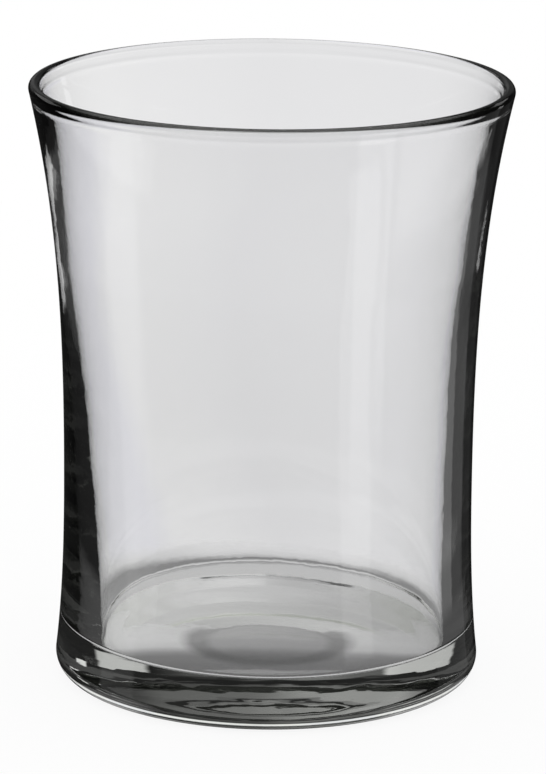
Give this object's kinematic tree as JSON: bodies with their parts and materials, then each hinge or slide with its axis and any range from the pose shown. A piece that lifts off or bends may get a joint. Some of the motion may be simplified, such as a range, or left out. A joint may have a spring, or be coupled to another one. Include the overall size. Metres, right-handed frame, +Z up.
{
  "type": "rocks glass",
  "caption": "Clear rocks glass with a flared mouth, a slightly drawn-in waist, a rounded lip and a heavy base; it stands on a flat ring around a hollowed underside.",
  "frame": {"origin": "centre of the ring that the glass stands on, on the table's surface", "axes": "+Z up along the axis of the glass, towards its mouth; X and Y are free, because the glass is round"},
  "size_m": [0.0872, 0.0872, 0.11],
  "materials": {
    "clear_glass": "clear, smooth and glossy"
  },
  "bodies": {
    "root": {"tumbler": "clear_glass"}
  },
  "joints": []
}
